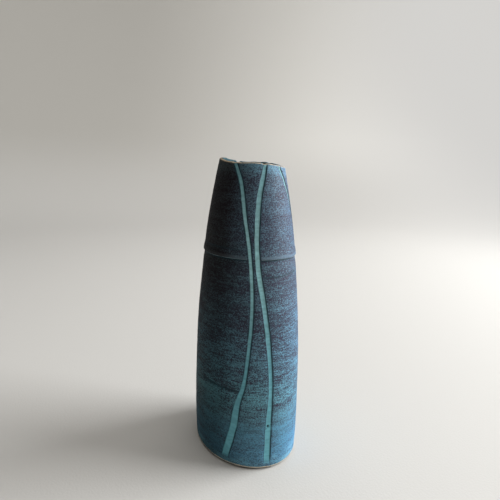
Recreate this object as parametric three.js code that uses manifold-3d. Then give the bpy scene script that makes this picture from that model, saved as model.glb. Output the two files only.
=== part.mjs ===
// Ceramic bud vase, built by hand from rolled slabs of clay.
//
// An oval base slab carries a lower wall. An upper wall laps over the outside of the
// lower one, so its bottom edge shows as a soft lip all round the vase. Coils and strips
// of clay are pressed into the joints on the inside. Grooves are carved down the outside,
// through the lip, from the rim to the foot, and a pale line of glaze lies in each.
//
// Units are millimetres and +Z is up. The origin is the middle of the foot, and +X runs
// along the oval's long axis. A place on the vase is given as a turn (the oval's angle in
// degrees, 0 at +X and 90 at +Y), a height, and a depth inwards from the outer surface.

import Module from 'manifold-3d';
import * as THREE from 'three';
import { mergeVertices } from 'three/addons/utils/BufferGeometryUtils.js';

// Outline of the vase, from the foot to the rim
const FORM_HEIGHT = 200;
const FOOT_HALF_LENGTH = 43.2;
const SHOULDER_DRAW_IN = 18.3;
const SHOULDER_POWER = 2.8;
const BELLY_SWELL = 0.9;
const BELLY_HEIGHT = 30;
const FOOT_OVAL_RATIO = 1.28;
const RIM_OVAL_RATIO = 1.2;

// Hand-cut rim
const RIM_MEAN_HEIGHT = 200.6;
const RIM_TILT = 1.9;
const RIM_TILT_TURN = -140;
const RIM_WAVE = 0.7;
const RIM_WAVE_TURN = -11;
const RIM_ROUNDING = 0.9;

// Walls and the lap joint between them
const WALL_AT_FOOT = 4.5;
const WALL_AT_RIM = 3;
const SEAM_HEIGHT = 141;
const LAP_HEIGHT = 9;
const LAP_DEPTH = 1.7;
const LIP_PROUD = 0.5;
const LIP_HEIGHT = 10;
const LOWER_TUCK = 0.3;
const TUCK_START = 100;

// Base slab: a flange under the wall and a plug inside it
const FLANGE_HEIGHT = 3;
const BASE_HEIGHT = 7;
const FOOT_CHAMFER = 1.2;

// Coils and strips pressed into the joints on the inside
const FOOT_COIL_SIZE = 6;
const SEAM_COIL_HEIGHT = 7;
const SEAM_COIL_DEPTH = 2;
const STRIP_TURN = 118;
const STRIP_WIDTH = 8;
const STRIP_DEPTH = 1.6;
const STRIP_TOP_MARGIN = 9;

// Grooves and the lines of glaze in them
const LINE_RECESS = 0.3;
const LINE_HOLLOW = 0.1;
const LINE_DEPTH = 0.9;
const GROOVE_CLEAR = 3;
const BAND_STEPS = 40;

const GAP = 0.3;
const SEGMENTS = 64;

// Each line is a list of places from the rim to the foot: turn, height, width.
const GLAZE_LINES = {
  left_glaze_line: [
    [-59, 199, 2.2], [-48, 188, 2.4], [-39.5, 165, 2.3], [-33, 144, 2.1], [-29.7, 112, 2.2],
    [-33, 80, 2.3], [-37, 60, 2.6], [-43.4, 45, 4.0], [-46.8, 30, 4.9], [-56, 6, 4.7],
  ],
  right_glaze_line: [
    [-10.3, 199, 2.2], [-14.5, 192, 2.8], [-21, 180, 3.2], [-24.7, 158, 3.0], [-23.4, 137, 3.1],
    [-16, 110, 3.2], [-10.4, 81, 3.1], [-8.4, 56, 2.9], [-10, 33, 4.2], [-10.4, 5, 4.5],
  ],
  side_glaze_line: [
    [19, 197.6, 1.7], [28.5, 190, 1.8], [37.5, 180, 1.9], [49, 162, 2.1], [58, 138, 2.4],
    [62, 112, 2.8], [61, 80, 3.2], [58, 50, 3.8], [60, 28, 4.4], [66, 6, 4.4],
  ],
  side_rear_glaze_line: [
    [104, 199, 2.2], [96, 184, 2.6], [83, 166, 2.9], [75, 144, 2.9], [73, 122, 2.9],
    [78, 96, 3.1], [86, 70, 3.5], [90, 46, 4.2], [88, 24, 4.6], [86, 5, 4.4],
  ],
  back_glaze_line: [
    [172, 200, 2.2], [163, 187, 2.5], [156, 168, 2.9], [157, 144, 3.0], [163, 118, 3.1],
    [170, 92, 3.4], [173, 66, 3.9], [170, 42, 4.6], [166, 22, 4.9], [164, 5, 4.6],
  ],
};

const wasm = await Module();
wasm.setup();

const radians = THREE.MathUtils.degToRad;
const smoothstep = THREE.MathUtils.smoothstep;

/** Half of the oval's length at a height, to the outer surface. */
function halfLength(height) {
  const drawIn = SHOULDER_DRAW_IN * (height / FORM_HEIGHT) ** SHOULDER_POWER;
  const upTheBelly = height / BELLY_HEIGHT;
  const swell = BELLY_SWELL * upTheBelly * Math.exp(1 - upTheBelly);
  return FOOT_HALF_LENGTH - drawIn + swell;
}

/** Half of the oval's width at a height, to the outer surface. */
function halfWidth(height) {
  const ratio = FOOT_OVAL_RATIO + ((RIM_OVAL_RATIO - FOOT_OVAL_RATIO) * height) / FORM_HEIGHT;
  return halfLength(height) / ratio;
}

/** Thickness of the wall at a height. */
function wallThickness(height) {
  return WALL_AT_FOOT + ((WALL_AT_RIM - WALL_AT_FOOT) * height) / FORM_HEIGHT;
}

/** Height of the hand-cut rim at a turn in degrees. */
function rimHeight(turn) {
  const tilt = RIM_TILT * Math.cos(radians(turn - RIM_TILT_TURN));
  const wave = RIM_WAVE * Math.cos(3 * radians(turn - RIM_WAVE_TURN));
  return RIM_MEAN_HEIGHT + tilt + wave;
}

/** How far the upper wall's outer face stands out to form the lip, at a height above the seam. */
function lipProud(height) {
  const above = (height - SEAM_HEIGHT) / LIP_HEIGHT;
  return LIP_PROUD * (1 - smoothstep(above, 0.2, 1));
}

/** How far the lower wall's outer face draws in on its way up to the lip. */
function lowerTuck(height) {
  return LOWER_TUCK * smoothstep(height, TUCK_START, SEAM_HEIGHT);
}

/** The point of the vase at a turn in degrees, a height, and a depth inwards. */
function placeOnVase(turn, height, depth) {
  const angle = radians(turn);
  const x = (halfLength(height) - depth) * Math.cos(angle);
  const y = (halfWidth(height) - depth) * Math.sin(angle);
  return new THREE.Vector3(x, y, height);
}

/** Joins rows of points, all equally long, into a skin. Each row closes on itself. */
function skinRows(rows, closesOnItself) {
  const rowLength = rows[0].length;
  const bands = closesOnItself ? rows.length : rows.length - 1;
  const indices = [];
  for (let band = 0; band < bands; band += 1) {
    const here = band * rowLength;
    const next = ((band + 1) % rows.length) * rowLength;
    for (let i = 0; i < rowLength; i += 1) {
      const j = (i + 1) % rowLength;
      indices.push(here + i, next + i, next + j);
      indices.push(here + i, next + j, here + j);
    }
  }
  return indices;
}

/** Closes one end of a skin with a fan of triangles round the end row's middle. */
function capRow(points, indices, rowStart, rowLength, isFirst) {
  const middle = new THREE.Vector3();
  for (let i = 0; i < rowLength; i += 1) {
    middle.addScaledVector(points[rowStart + i], 1 / rowLength);
  }
  const centre = points.length;
  points.push(middle);
  for (let i = 0; i < rowLength; i += 1) {
    const here = rowStart + i;
    const next = rowStart + ((i + 1) % rowLength);
    if (isFirst) {
      indices.push(centre, here, next);
    } else {
      indices.push(centre, next, here);
    }
  }
}

/** Makes a geometry from rows of points, either a closed ring of rows or a capped run. */
function geometryFromRows(rows, closesOnItself) {
  const points = rows.flat();
  const indices = skinRows(rows, closesOnItself);
  if (!closesOnItself) {
    const rowLength = rows[0].length;
    capRow(points, indices, 0, rowLength, true);
    capRow(points, indices, (rows.length - 1) * rowLength, rowLength, false);
  }
  const geometry = new THREE.BufferGeometry().setFromPoints(points);
  geometry.setIndex(indices);
  geometry.computeVertexNormals();
  return geometry;
}

/** Sweeps a section, given as depth and height pairs at each turn, right round the vase. */
function sweepRound(sectionAt) {
  const rows = [];
  for (let step = 0; step < SEGMENTS; step += 1) {
    const turn = (360 * step) / SEGMENTS;
    rows.push(sectionAt(turn).map(([depth, height]) => placeOnVase(turn, height, depth)));
  }
  return geometryFromRows(rows, true);
}

/** Stacks ovals, given as depth and height pairs from the bottom up, into a solid slab. */
function stackOvals(levels) {
  const rows = levels.map(([depth, height]) => {
    const row = [];
    for (let step = 0; step < SEGMENTS; step += 1) {
      row.push(placeOnVase((-360 * step) / SEGMENTS, height, depth));
    }
    return row;
  });
  return geometryFromRows(rows, false);
}

/** Numbers from first to last in equal steps, both ends included. */
function spread(first, last, count) {
  return Array.from({ length: count }, (_, i) => first + ((last - first) * i) / (count - 1));
}

/** Sweeps a section along a route of turn, height and width. A section is side and depth pairs. */
function layBand(route, sectionAt) {
  const curve = new THREE.CatmullRomCurve3(route.map((place) => new THREE.Vector3(...place)));
  const rows = [];
  for (let step = 0; step <= BAND_STEPS; step += 1) {
    const { x: turn, y: height, z: width } = curve.getPoint(step / BAND_STEPS);
    const radius = (halfLength(height) + halfWidth(height)) / 2;
    rows.push(sectionAt(width, height).map(([side, depth]) => {
      const sideTurn = THREE.MathUtils.radToDeg(side / radius);
      return placeOnVase(turn + sideTurn, height, depth);
    }));
  }
  return geometryFromRows(rows, false);
}

/** Turns a closed geometry into a solid that can be cut. */
function solidFrom(geometry) {
  const bare = geometry.clone();
  bare.deleteAttribute('normal');
  bare.deleteAttribute('uv');
  const merged = mergeVertices(bare);
  return new wasm.Manifold(new wasm.Mesh({
    numProp: 3,
    vertProperties: new Float32Array(merged.attributes.position.array),
    triVerts: new Uint32Array(merged.index.array),
  }));
}

/** Turns a solid back into a geometry. */
function geometryFrom(solid) {
  const { vertProperties, triVerts } = solid.getMesh();
  const geometry = new THREE.BufferGeometry();
  geometry.setAttribute('position', new THREE.BufferAttribute(vertProperties, 3));
  geometry.setIndex(new THREE.BufferAttribute(triVerts, 1));
  geometry.computeVertexNormals();
  return geometry;
}

/** The shape that carves one line's groove, from above the rim down to the line's foot. */
function makeGrooveCutter(route) {
  const [topTurn, topHeight, topWidth] = route[0];
  const [nextTurn, nextHeight] = route[1];
  const rise = RIM_MEAN_HEIGHT + GROOVE_CLEAR - topHeight;
  const lean = (topTurn - nextTurn) / (topHeight - nextHeight);
  const overRim = [topTurn + lean * rise, topHeight + rise, topWidth];
  const [footTurn, footHeight, footWidth] = route[route.length - 1];
  const underFoot = [footTurn, footHeight - GAP, footWidth];
  return layBand([overRim, ...route.slice(0, -1), underFoot], (width) => {
    const reach = width / 2 + GAP;
    return [
      [-reach, -GROOVE_CLEAR],
      [reach, -GROOVE_CLEAR],
      [reach, LINE_DEPTH + GAP],
      [-reach, LINE_DEPTH + GAP],
    ];
  });
}

/** Carves every groove out of a wall. */
function carveGrooves(wall) {
  let solid = solidFrom(wall);
  for (const route of Object.values(GLAZE_LINES)) {
    solid = solid.subtract(solidFrom(makeGrooveCutter(route)));
  }
  return geometryFrom(solid);
}

/** The base slab: a chamfered flange that the wall stands on, and a plug that it wraps. */
function makeBaseSlab() {
  const plugDepth = wallThickness(BASE_HEIGHT) + GAP;
  return stackOvals([
    [FOOT_CHAMFER, 0],
    [0, FOOT_CHAMFER],
    [0, FLANGE_HEIGHT],
    [plugDepth, FLANGE_HEIGHT],
    [plugDepth, BASE_HEIGHT],
  ]);
}

/** The lower wall, thinned on its outside at the top to make the tongue of the lap joint. */
function makeLowerWall() {
  const bottom = FLANGE_HEIGHT + GAP;
  const shoulder = SEAM_HEIGHT - GAP;
  const tongueTop = SEAM_HEIGHT + LAP_HEIGHT;
  const outer = spread(bottom, shoulder, 12).map((height) => [lowerTuck(height), height]);
  const tongue = [
    [LAP_DEPTH + GAP, shoulder],
    [LAP_DEPTH + GAP, tongueTop],
  ];
  const inner = spread(tongueTop, bottom, 12).map((height) => [wallThickness(height), height]);
  return sweepRound(() => [...outer, ...tongue, ...inner]);
}

/** The upper wall, thinned on its inside at the bottom to lap over the lower wall's tongue. */
function makeUpperWall() {
  const lapTop = SEAM_HEIGHT + LAP_HEIGHT + GAP;
  const lip = [
    [-LIP_PROUD / 2, SEAM_HEIGHT],
    ...spread(SEAM_HEIGHT + 1, SEAM_HEIGHT + LIP_HEIGHT, 4).map((height) => [-lipProud(height), height]),
  ];
  return sweepRound((turn) => {
    const top = rimHeight(turn);
    const shoulder = top - RIM_ROUNDING;
    const outer = spread(SEAM_HEIGHT + LIP_HEIGHT, shoulder, 6).slice(1).map((height) => [0, height]);
    const rim = [
      [RIM_ROUNDING / 2, top],
      [wallThickness(top) - RIM_ROUNDING / 2, top],
    ];
    const inner = spread(shoulder, lapTop, 4).map((height) => [wallThickness(height), height]);
    const lap = [
      [LAP_DEPTH, lapTop],
      [LAP_DEPTH, SEAM_HEIGHT],
    ];
    return [...lip, ...outer, ...rim, ...inner, ...lap];
  });
}

/** The coil pressed into the corner between the wall and the base slab. */
function makeFootCoil() {
  const bottom = BASE_HEIGHT + GAP;
  const section = [
    [0, 0],
    [0, FOOT_COIL_SIZE],
    [FOOT_COIL_SIZE * 0.25, FOOT_COIL_SIZE * 0.62],
    [FOOT_COIL_SIZE * 0.62, FOOT_COIL_SIZE * 0.25],
    [FOOT_COIL_SIZE, 0],
  ];
  return sweepRound(() => section.map(([inwards, upwards]) => {
    const height = bottom + upwards;
    return [wallThickness(height) + GAP + inwards, height];
  }));
}

/** The coil smoothed over the inner edge of the lap joint. */
function makeSeamCoil() {
  const middle = SEAM_HEIGHT + LAP_HEIGHT;
  const section = [
    [0, -0.5],
    [0, 0.5],
    [0.7, 0.32],
    [1, 0],
    [0.7, -0.32],
  ];
  return sweepRound(() => section.map(([inwards, upwards]) => {
    const height = middle + SEAM_COIL_HEIGHT * upwards;
    return [wallThickness(height) + GAP + SEAM_COIL_DEPTH * inwards, height];
  }));
}

/** A strip pressed over the upright joint where a wall's two ends meet. */
function makeJointStrip(bottom, top) {
  const route = spread(top, bottom, 5).map((height) => [STRIP_TURN, height, STRIP_WIDTH]);
  return layBand(route, (width, height) => {
    const wallFace = wallThickness(height) + GAP;
    return [
      [-width * 0.5, wallFace],
      [width * 0.5, wallFace],
      [width * 0.36, wallFace + STRIP_DEPTH * 0.75],
      [0, wallFace + STRIP_DEPTH],
      [-width * 0.36, wallFace + STRIP_DEPTH * 0.75],
    ];
  });
}

/** A line of glaze, a little hollow across its face, that lies in its groove. */
function makeGlazeLine(route) {
  return layBand(route, (width) => [
    [-width / 2, LINE_RECESS],
    [0, LINE_RECESS + LINE_HOLLOW],
    [width / 2, LINE_RECESS],
    [width / 2, LINE_DEPTH],
    [-width / 2, LINE_DEPTH],
  ]);
}

const finishes = {
  mottledGlaze: new THREE.MeshStandardMaterial({ color: 0x4b5f6f, roughness: 0.42, metalness: 0 }),
  lineGlaze: new THREE.MeshStandardMaterial({ color: 0x86b0ad, roughness: 0.35, metalness: 0 }),
  innerGlaze: new THREE.MeshStandardMaterial({ color: 0x35505a, roughness: 0.4, metalness: 0 }),
  bareClay: new THREE.MeshStandardMaterial({ color: 0xc9bda6, roughness: 0.85, metalness: 0 }),
};

const vase = new THREE.Group();

/** Adds one named piece to the vase. */
function addPiece(name, geometry, finish) {
  const piece = new THREE.Mesh(geometry, finish.clone());
  piece.name = name;
  vase.add(piece);
}

addPiece('base_slab', makeBaseSlab(), finishes.bareClay);
addPiece('lower_wall', carveGrooves(makeLowerWall()), finishes.mottledGlaze);
addPiece('upper_wall', carveGrooves(makeUpperWall()), finishes.mottledGlaze);
addPiece('foot_coil', makeFootCoil(), finishes.innerGlaze);
addPiece('seam_coil', makeSeamCoil(), finishes.innerGlaze);

const footCoilTop = BASE_HEIGHT + GAP + FOOT_COIL_SIZE;
const seamCoilMiddle = SEAM_HEIGHT + LAP_HEIGHT;
const seamCoilReach = SEAM_COIL_HEIGHT / 2;
const lowerStrip = makeJointStrip(footCoilTop + GAP, seamCoilMiddle - seamCoilReach - GAP);
const upperStrip = makeJointStrip(
  seamCoilMiddle + seamCoilReach + GAP,
  rimHeight(STRIP_TURN) - STRIP_TOP_MARGIN,
);
addPiece('lower_joint_strip', lowerStrip, finishes.innerGlaze);
addPiece('upper_joint_strip', upperStrip, finishes.innerGlaze);

for (const [name, route] of Object.entries(GLAZE_LINES)) {
  addPiece(name, makeGlazeLine(route), finishes.lineGlaze);
}

export default vase;
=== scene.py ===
"""Looks of the slab-built ceramic bud vase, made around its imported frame.

The frame is measured first: the oval outline, the rim, the wall thickness and the routes
of the glaze lines all come from its nodes. Every piece is then modelled again on those
measures, as fired clay under glaze, and replaces its node. Lengths are in metres. A place
on the vase is a turn, a height and a depth inwards; turns go round the oval in radians, 0
at +X and a quarter turn at +Y.
"""

import logging
import math
from collections.abc import Iterable
from dataclasses import dataclass
from enum import Enum

import bmesh
import bpy
import numpy as np
from mathutils import Matrix, Vector, noise
from mathutils.bvhtree import BVHTree


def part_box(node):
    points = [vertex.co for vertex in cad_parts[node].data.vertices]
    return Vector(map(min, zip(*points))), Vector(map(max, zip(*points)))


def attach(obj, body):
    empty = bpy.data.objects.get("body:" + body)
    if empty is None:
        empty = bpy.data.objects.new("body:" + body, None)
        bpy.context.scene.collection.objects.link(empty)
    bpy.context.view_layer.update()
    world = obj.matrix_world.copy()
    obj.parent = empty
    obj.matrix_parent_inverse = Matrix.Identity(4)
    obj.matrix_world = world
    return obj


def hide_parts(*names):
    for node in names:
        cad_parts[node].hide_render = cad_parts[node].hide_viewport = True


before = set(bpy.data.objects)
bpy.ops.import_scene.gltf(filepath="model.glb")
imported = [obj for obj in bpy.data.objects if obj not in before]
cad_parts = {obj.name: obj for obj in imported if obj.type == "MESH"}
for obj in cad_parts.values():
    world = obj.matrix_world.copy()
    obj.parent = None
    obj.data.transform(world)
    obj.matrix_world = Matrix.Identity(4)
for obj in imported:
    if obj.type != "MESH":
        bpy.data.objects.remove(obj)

log = logging.getLogger("bud_vase")

MM = 0.001
BODY = "root"
REFERENCE_RADIUS = 0.1
Array = np.ndarray
Colour = tuple[float, float, float]
Profile = list[tuple[float, float]]
Socket = bpy.types.NodeSocket


class Slot(Enum):
    """The record's material slots."""

    MOTTLED = "mottled_glaze"
    LINE = "line_glaze"
    INNER = "inner_glaze"
    CLAY = "bare_clay"


class Mark(Enum):
    """Amounts from 0 to 1 that a piece's points carry for its glaze to read."""

    INSIDE = "inside"
    BARE = "bare"
    TRAIL = "trail"
    # Dark glaze pooled in the marks, and painted shade: under the lip, in the craters, in the crease above
    # the lip and along the glaze lines' right edges.
    POOL_AND_SHADE = "pool_and_shade"
    LIP = "lip"


# ---------------------------------------------------------------- measuring the frame


def smooth(value: Array | float, start: Array | float, end: Array | float) -> Array:
    """Rises smoothly from 0 at start to 1 at end."""
    t = np.clip((value - start) / (end - start), 0.0, 1.0)
    return t * t * (3.0 - 2.0 * t)


def bump(value: Array, centre: Array | float, reach: Array | float) -> Array:
    """A smooth bump, 1 at its centre and 0 past its reach."""
    return 1.0 - smooth(np.abs(value - centre), 0.0, reach)


def rough(x: Array, y: Array | float, z: Array | float) -> Array:
    """Noise from about -1 to 1 at every place given."""
    places = np.broadcast_arrays(x, y, z)
    return np.array([noise.noise(place) for place in zip(*(part.tolist() for part in places))])


def rough_round(turn: Array, grain: float, height: Array | float) -> Array:
    """Noise that joins up with itself after a whole turn."""
    return rough(np.cos(turn) * grain, np.sin(turn) * grain, height)


def nearest_turn(turn: Array | float, to: Array | float) -> Array:
    """Returns the same turn, a whole number of turns on or back, nearest to another."""
    return turn + math.tau * np.round((to - turn) / math.tau)


class Track:
    """A smooth curve through values at rising stations."""

    def __init__(self, stations: list[float], values: list[float]) -> None:
        """Keeps the stations and works out a slope at each.

        Args:
            stations: Where the values are known, in rising order.
            values: The value at each station.
        """
        self.stations = np.array(stations)
        self.values = np.array(values)
        self.slopes = np.gradient(self.values, self.stations)

    def at(self, station: Array | float) -> Array:
        """Returns the value at each station, running straight on past either end.

        Args:
            station: Where to read the curve.

        Returns:
            The value at each station.
        """
        i = np.clip(np.searchsorted(self.stations, station) - 1, 0, len(self.stations) - 2)
        span = self.stations[i + 1] - self.stations[i]
        raw = (station - self.stations[i]) / span
        t = np.clip(raw, 0.0, 1.0)
        rise = t * t * (3.0 - 2.0 * t) * (self.values[i + 1] - self.values[i])
        ease_out = t * (1.0 - t) ** 2 * span * self.slopes[i]
        ease_in = t * t * (t - 1.0) * span * self.slopes[i + 1]
        before = np.minimum(raw, 0.0) * span * self.slopes[0]
        after = np.maximum(raw - 1.0, 0.0) * span * self.slopes[-1]
        return self.values[i] + rise + ease_out + ease_in + before + after


class VaseBody:
    """The vase's surfaces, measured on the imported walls."""

    OUTLINE_MM = (2.2, 5, 12, 20, 28, 41, 54, 67, 79, 92, 107, 124, 152, 160, 168, 176, 184, 192, 197)
    THICKNESS_MM = (20, 190)
    ROUND_STEPS = 72
    RIM_STEPS = 64
    FIT_ROUNDS = 3
    CAST_FROM = 0.2
    CAST_ABOVE = Vector((0.0, 0.0, 0.1))
    CREST_SHARE = 0.6
    GROOVE_SHARE = 0.006

    def __init__(self) -> None:
        """Measures the outline, the rim and the wall."""
        self.tree = self._tree_of("base_slab", "lower_wall", "upper_wall")
        heights = [mm * MM for mm in self.OUTLINE_MM]
        ovals = [self._measure_oval(height) for height in heights]
        self.centre_x, self.centre_y, self.half_length, self.half_width = (
            Track(heights, list(column)) for column in zip(*ovals)
        )
        self.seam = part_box("upper_wall")[0].z
        self.tongue_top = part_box("lower_wall")[1].z
        self.wall_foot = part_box("lower_wall")[0].z
        self.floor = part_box("base_slab")[1].z
        self.thickness = self._measure_thickness()
        self.rim_track = self._measure_rim()
        self.rim_mean = float(self.rim_track.values.mean())

    @staticmethod
    def _tree_of(*nodes: str) -> BVHTree:
        """Gathers the named nodes into one search tree.

        Args:
            *nodes: The nodes' names.

        Returns:
            The search tree of all their faces.
        """
        corners: list[Vector] = []
        faces: list[list[int]] = []
        for node in nodes:
            start = len(corners)
            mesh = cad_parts[node].data
            corners.extend(vertex.co.copy() for vertex in mesh.vertices)
            faces.extend([start + i for i in polygon.vertices] for polygon in mesh.polygons)
        return BVHTree.FromPolygons(corners, faces)

    def _measure_oval(self, height: float) -> tuple[float, float, float, float]:
        """Fits an oval to the outer surface at a height, leaving the grooves out.

        Args:
            height: The level to measure.

        Returns:
            The oval's centre in x and y, its half length and its half width.
        """
        hits = []
        for step in range(self.ROUND_STEPS):
            turn = math.tau * step / self.ROUND_STEPS
            inwards = Vector((-math.cos(turn), -math.sin(turn), 0.0))
            start = Vector((0.0, 0.0, height)) - inwards * self.CAST_FROM
            hits.append(self.tree.ray_cast(start, inwards)[0].to_2d())
        points = np.array(hits)
        for _ in range(self.FIT_ROUNDS):
            x, y = points.T
            terms = np.column_stack([x * x, y * y, x, y])
            a, b, c, d = np.linalg.lstsq(terms, np.ones(len(x)), rcond=None)[0]
            cx, cy = -c / (2 * a), -d / (2 * b)
            size = 1 + a * cx * cx + b * cy * cy
            half_length, half_width = math.sqrt(size / a), math.sqrt(size / b)
            off = np.hypot((x - cx) / half_length, (y - cy) / half_width) - 1.0
            points = points[off > -self.GROOVE_SHARE]
        return cx, cy, half_length, half_width

    def _measure_thickness(self) -> Track:
        """Measures the wall low down and near the rim, where it has no groove.

        Returns:
            The thickness by height.
        """
        heights = [mm * MM for mm in self.THICKNESS_MM]
        found = []
        for height in heights:
            inner = self.tree.ray_cast(Vector((0.0, 0.0, height)), Vector((-1.0, 0.0, 0.0)))[0].x
            outer = self.centre_x.at(height) - self.half_length.at(height)
            found.append(float(inner - outer))
        return Track(heights, found)

    def _measure_rim(self) -> Track:
        """Measures the height of the rim all round.

        Returns:
            The rim's height by turn, a little past a whole turn at both ends.
        """
        turns, heights = [], []
        for step in range(-2, self.RIM_STEPS + 3):
            turn = math.tau * step / self.RIM_STEPS
            level = float(self.half_length.stations[-1])
            crest = Vector(self.place(turn, level, self.CREST_SHARE * self.thickness.at(level)))
            turns.append(turn)
            heights.append(self.tree.ray_cast(crest + self.CAST_ABOVE, Vector((0.0, 0.0, -1.0)))[0].z)
        return Track(turns, heights)

    def place(self, turn: Array, height: Array, depth: Array) -> Array:
        """Returns the place at a turn, a height and a depth inwards from the outline.

        Args:
            turn: The turns.
            height: The heights.
            depth: The depths inwards.

        Returns:
            The places, one a row.
        """
        x = self.centre_x.at(height) + (self.half_length.at(height) - depth) * np.cos(turn)
        y = self.centre_y.at(height) + (self.half_width.at(height) - depth) * np.sin(turn)
        return np.stack(np.broadcast_arrays(x, y, height), axis=-1)

    def turn_of(self, point: Vector) -> float:
        """Returns the turn of a point near the surface.

        Args:
            point: The point.

        Returns:
            Its turn, from minus half a turn to half a turn.
        """
        x = (point.x - self.centre_x.at(point.z)) / self.half_length.at(point.z)
        y = (point.y - self.centre_y.at(point.z)) / self.half_width.at(point.z)
        return math.atan2(y, x)

    def radius(self, height: Array | float) -> Array:
        """Returns the mean radius of the outline at a height."""
        return (self.half_length.at(height) + self.half_width.at(height)) / 2

    def rim(self, turn: Array | float) -> Array:
        """Returns the height of the rim at a turn."""
        return self.rim_track.at(np.mod(turn, math.tau))


class LineRoute:
    """The route of one glaze line, measured on its node."""

    WAVER = 0.10
    WAVER_GRAIN = 90.0
    WAVER_SHIFT = 7.0
    ROW_CORNERS = 3

    def __init__(self, body: VaseBody, node: str) -> None:
        """Reads the line's middle and width at each row of its node's corners.

        Args:
            body: The measured vase.
            node: The line's node.
        """
        rows: dict[float, list[Vector]] = {}
        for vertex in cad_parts[node].data.vertices:
            rows.setdefault(round(vertex.co.z, 6), []).append(vertex.co)
        heights, turns, widths = [], [], []
        for height in sorted(rows):
            found = [body.turn_of(corner) for corner in rows[height]]
            found = [float(nearest_turn(turn, found[0])) for turn in found]
            if len({round(turn, 4) for turn in found}) < self.ROW_CORNERS:
                continue
            middle = (min(found) + max(found)) / 2
            heights.append(height)
            turns.append(float(nearest_turn(middle, turns[-1])) if turns else middle)
            widths.append((max(found) - min(found)) * float(body.radius(height)))
        self.body = body
        self.middle = Track(heights, turns)
        self.width = Track(heights, widths)
        self.bottom = heights[0]
        self.top = heights[-1]

    def turn(self, height: Array) -> Array:
        """Returns the turn of the line's middle at a height."""
        return self.middle.at(np.clip(height, self.bottom, self.top))

    def side(self, turn: Array, height: Array) -> Array:
        """Returns how far a place lies to the side of the line's middle, along the surface."""
        middle = self.turn(height)
        return (nearest_turn(turn, middle) - middle) * self.body.radius(height)

    def half_width(self, height: Array) -> Array:
        """Returns half of the line's width, with the waver of an edge cut by hand.

        Args:
            height: The heights to read.

        Returns:
            The half width at each height.
        """
        waver = rough(height * self.WAVER_GRAIN, self.middle.values[0] * self.WAVER_SHIFT, 0.0)
        width = self.width.at(np.clip(height, self.bottom, self.top))
        return 0.5 * width * (1.0 + self.WAVER * waver)


# ---------------------------------------------------------------- shape of the surface


@dataclass(frozen=True)
class HandWork:
    """Unevenness that rolling, pressing and smoothing leave in the clay."""

    wave: float = 0.28 * MM
    wave_grain: float = 24.0
    ridge: float = 0.07 * MM
    ridge_grain: tuple[float, float] = (50.0, 400.0)
    dimple: float = 0.06 * MM
    dimple_grain: float = 150.0

    def relief(self, places: Array) -> Array:
        """Returns how far the surface stands out at each place.

        Args:
            places: The places, one a row.

        Returns:
            The relief at each place.
        """
        x, y, z = places.T
        across, up = self.ridge_grain
        wave = self.wave * rough(*(places.T * self.wave_grain))
        ridge = self.ridge * rough(x * across, y * across, z * up)
        dimple = self.dimple * rough(*(places.T * self.dimple_grain))
        return wave + ridge + dimple


@dataclass(frozen=True)
class Lip:
    """The upper wall's bottom edge, where it laps over the lower wall."""

    proud: float = 0.50 * MM
    full: float = 1.95 * MM
    height: float = 6.5 * MM
    tuck: float = 0.40 * MM
    tuck_reach: float = 8.0 * MM
    waver: float = 0.35 * MM
    waver_grain: float = 1.7

    def edge(self, seam: float, turn: Array) -> Array:
        """Returns the height of the edge at a turn, which wavers as a pressed edge does."""
        return seam + self.waver * rough_round(turn, self.waver_grain, 4.0)

    def above(self, rise: Array) -> Array:
        """Returns how far the upper wall stands out at a height above the edge."""
        return self.proud * (1.0 - smooth(rise, self.full, self.height))

    def below(self, drop: Array) -> Array:
        """Returns how far the lower wall stands out, which is inwards, at a depth below the edge."""
        return -self.tuck * (1.0 - smooth(drop, 0.0, self.tuck_reach))


@dataclass(frozen=True)
class Scar:
    """A mark pressed or run into the glaze along a stretch of one level."""

    height_mm: float
    start_degrees: float
    end_degrees: float
    depth: float = 0.12 * MM
    reach: float = 0.7 * MM
    rise: float = 0.0
    darkness: float = 0.8
    SWING = 0.4 * MM
    SWING_GRAIN = 6.0
    PAST_END = 0.08
    FULL_FROM = 0.10

    def amount(self, turn: Array, height: Array) -> Array:
        """Returns how strong the mark is at a place, from 0 to 1.

        Args:
            turn: The turns of the places.
            height: The heights of the places.

        Returns:
            The strength at each place.
        """
        start, end = math.radians(self.start_degrees), math.radians(self.end_degrees)
        along = (nearest_turn(turn, (start + end) / 2) - start) / (end - start)
        level = self.height_mm * MM + self.rise * along
        found = np.zeros_like(turn)
        near = (np.abs(height - level) < self.reach + self.SWING) & (np.abs(along - 0.5) < 0.6)
        if near.any():
            level = level[near] + self.SWING * rough_round(turn[near], self.SWING_GRAIN, self.height_mm)
            fade = smooth(along[near], -self.PAST_END, self.FULL_FROM)
            fade *= 1.0 - smooth(along[near], 1.0 - self.FULL_FROM, 1.0 + self.PAST_END)
            found[near] = fade * bump(height[near], level, self.reach)
        return found


@dataclass(frozen=True)
class Pit:
    """A crater that a bubble left in the glaze, painted dark inside as shade."""

    turn_degrees: float
    height_mm: float
    radius: float
    depth: float
    darkness: float = 1.0
    FLOOR_SHARE = 0.35

    def amount(self, body: VaseBody, turn: Array, height: Array) -> Array:
        """Returns how deep inside the pit a place is, from 0 to 1.

        Args:
            body: The measured vase.
            turn: The turns of the places.
            height: The heights of the places.

        Returns:
            The strength at each place.
        """
        middle = math.radians(self.turn_degrees)
        side = (nearest_turn(turn, middle) - middle) * body.radius(height)
        away = np.hypot(side, height - self.height_mm * MM)
        return 1.0 - smooth(away, self.FLOOR_SHARE * self.radius, self.radius)


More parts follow.
